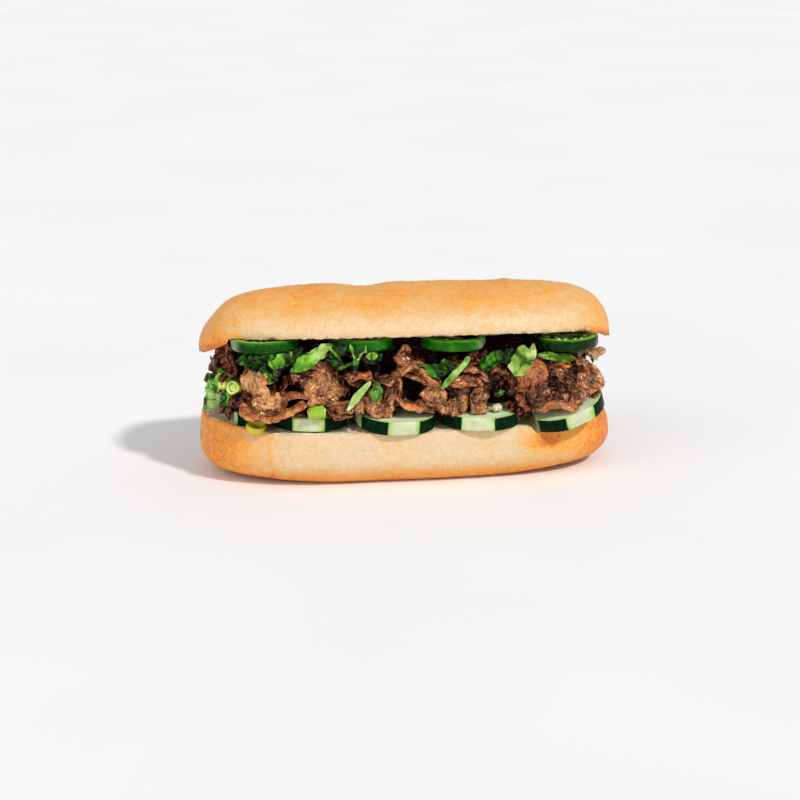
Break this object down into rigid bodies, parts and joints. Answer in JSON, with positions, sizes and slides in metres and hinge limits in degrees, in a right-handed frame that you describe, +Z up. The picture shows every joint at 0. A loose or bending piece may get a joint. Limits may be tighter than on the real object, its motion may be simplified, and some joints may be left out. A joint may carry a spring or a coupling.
{
  "type": "banh mi sandwich",
  "caption": "Split oval bread roll packed with sliced beef, thick cucumber rounds along the bottom, green chilli rounds under the lid, herb leaves and spring onion.",
  "frame": {"origin": "under the middle of the sandwich, on the surface that it rests on", "axes": "+X along the roll to the right of the open front, -Y out of the open front, +Z up"},
  "size_m": [0.1655, 0.0741, 0.0747],
  "materials": {
    "crust": "thin baked crust, golden above and cream at the sides, with a white torn crumb inside",
    "beef": "moist browned sliced beef with fibres and oily glints",
    "cucumber": "pale wet flesh with strips of dark green peel",
    "chilli": "glossy green skin round pale wet flesh",
    "herb": "fresh green leaves, paler underneath, with veins",
    "onion": "yellow-green stalk walls, white inside",
    "garlic": "chopped white garlic"
  },
  "bodies": {
    "root": {"roll_bottom": "crust", "roll_lid": "crust", "beef_heap": "beef", "cucumber_front_1": "cucumber", "cucumber_front_2": "cucumber", "cucumber_front_3": "cucumber", "cucumber_front_4": "cucumber", "cucumber_front_5": "cucumber", "cucumber_back_1": "cucumber", "cucumber_back_2": "cucumber", "cucumber_back_3": "cucumber", "cucumber_back_4": "cucumber", "cucumber_back_5": "cucumber", "chilli_front_1": "chilli", "chilli_front_2": "chilli", "chilli_front_3": "chilli", "chilli_front_4": "chilli", "chilli_back_1": "chilli", "chilli_back_2": "chilli", "chilli_back_3": "chilli", "chilli_back_4": "chilli", "onion_ring_1": "onion", "onion_ring_2": "onion", "onion_ring_3": "onion", "onion_ring_4": "onion", "onion_ring_5": "onion", "garlic_bit": "garlic", "herb_front_1": "herb", "herb_front_2": "herb", "herb_front_3": "herb", "herb_front_4": "herb", "herb_front_5": "herb", "herb_front_6": "herb", "herb_front_7": "herb", "herb_front_8": "herb", "herb_front_9": "herb", "herb_front_10": "herb", "herb_front_11": "herb", "herb_front_12": "herb", "herb_front_13": "herb", "herb_front_14": "herb", "herb_front_15": "herb", "herb_back_1": "herb", "herb_back_2": "herb", "herb_back_3": "herb", "herb_back_4": "herb", "herb_back_5": "herb", "herb_back_6": "herb"}
  },
  "joints": []
}
